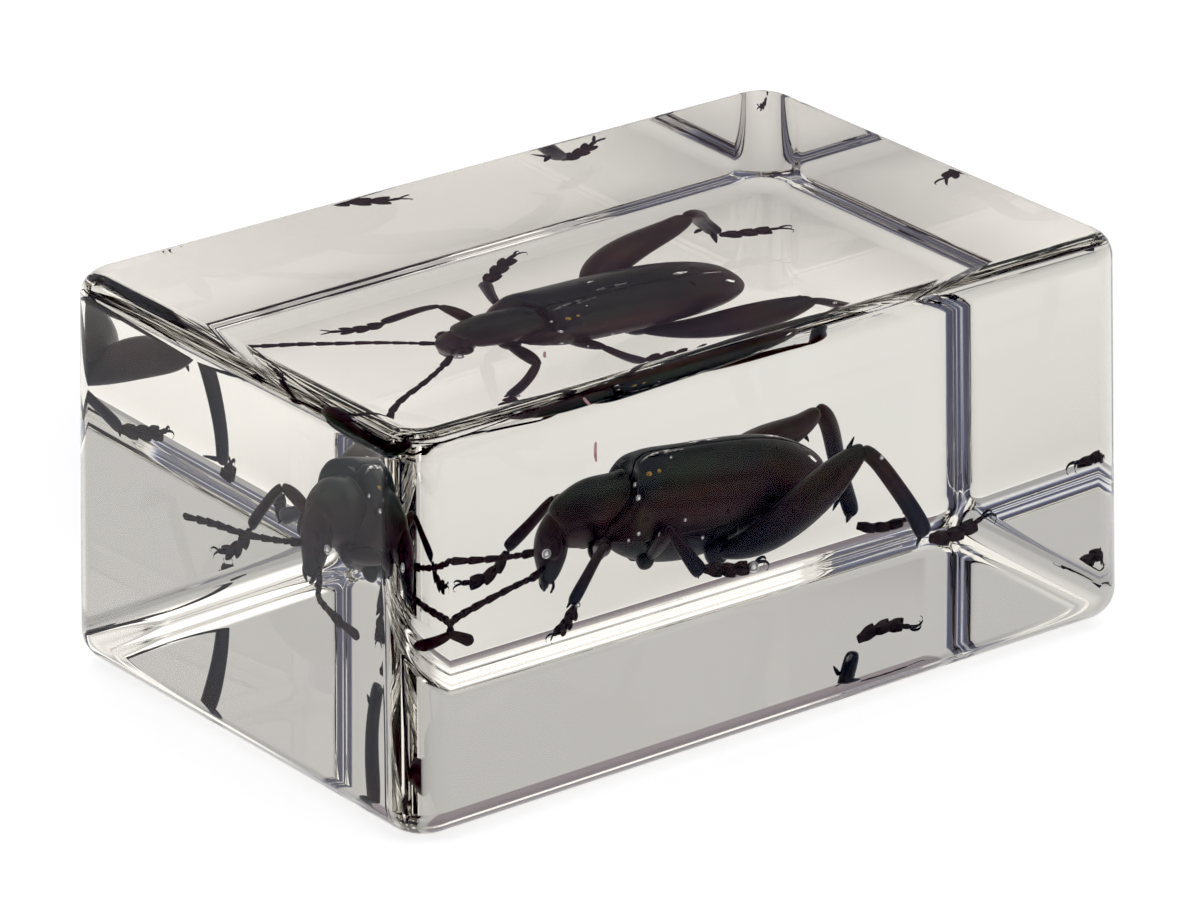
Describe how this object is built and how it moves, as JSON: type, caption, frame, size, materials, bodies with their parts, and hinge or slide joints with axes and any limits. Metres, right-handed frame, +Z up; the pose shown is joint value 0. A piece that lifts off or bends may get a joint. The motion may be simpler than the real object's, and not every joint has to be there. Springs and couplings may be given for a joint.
{
  "type": "insect in resin block",
  "caption": "Clear cast-resin paperweight block with rounded edges, holding a dark metallic frog-legged leaf beetle specimen with long antennae and swollen hind legs.",
  "frame": {"origin": "middle of the flat underside of the block", "axes": "+X along the block's length, from the beetle's head end to its tail end; +Y across the block; +Z up through the top face"},
  "size_m": [0.0434, 0.0286, 0.02],
  "materials": {
    "resin": "clear polyester casting resin, polished on every face",
    "cuticle": "near-black glossy beetle cuticle with a dark green and copper metallic sheen",
    "membrane": "dull reddish-brown joints, foot pads and underside hair",
    "bubble": "silvery air films and tiny round bubbles trapped against the specimen",
    "fibre": "single pink fibre caught in the resin"
  },
  "bodies": {
    "root": {"resin_block": "resin"}
  },
  "joints": []
}
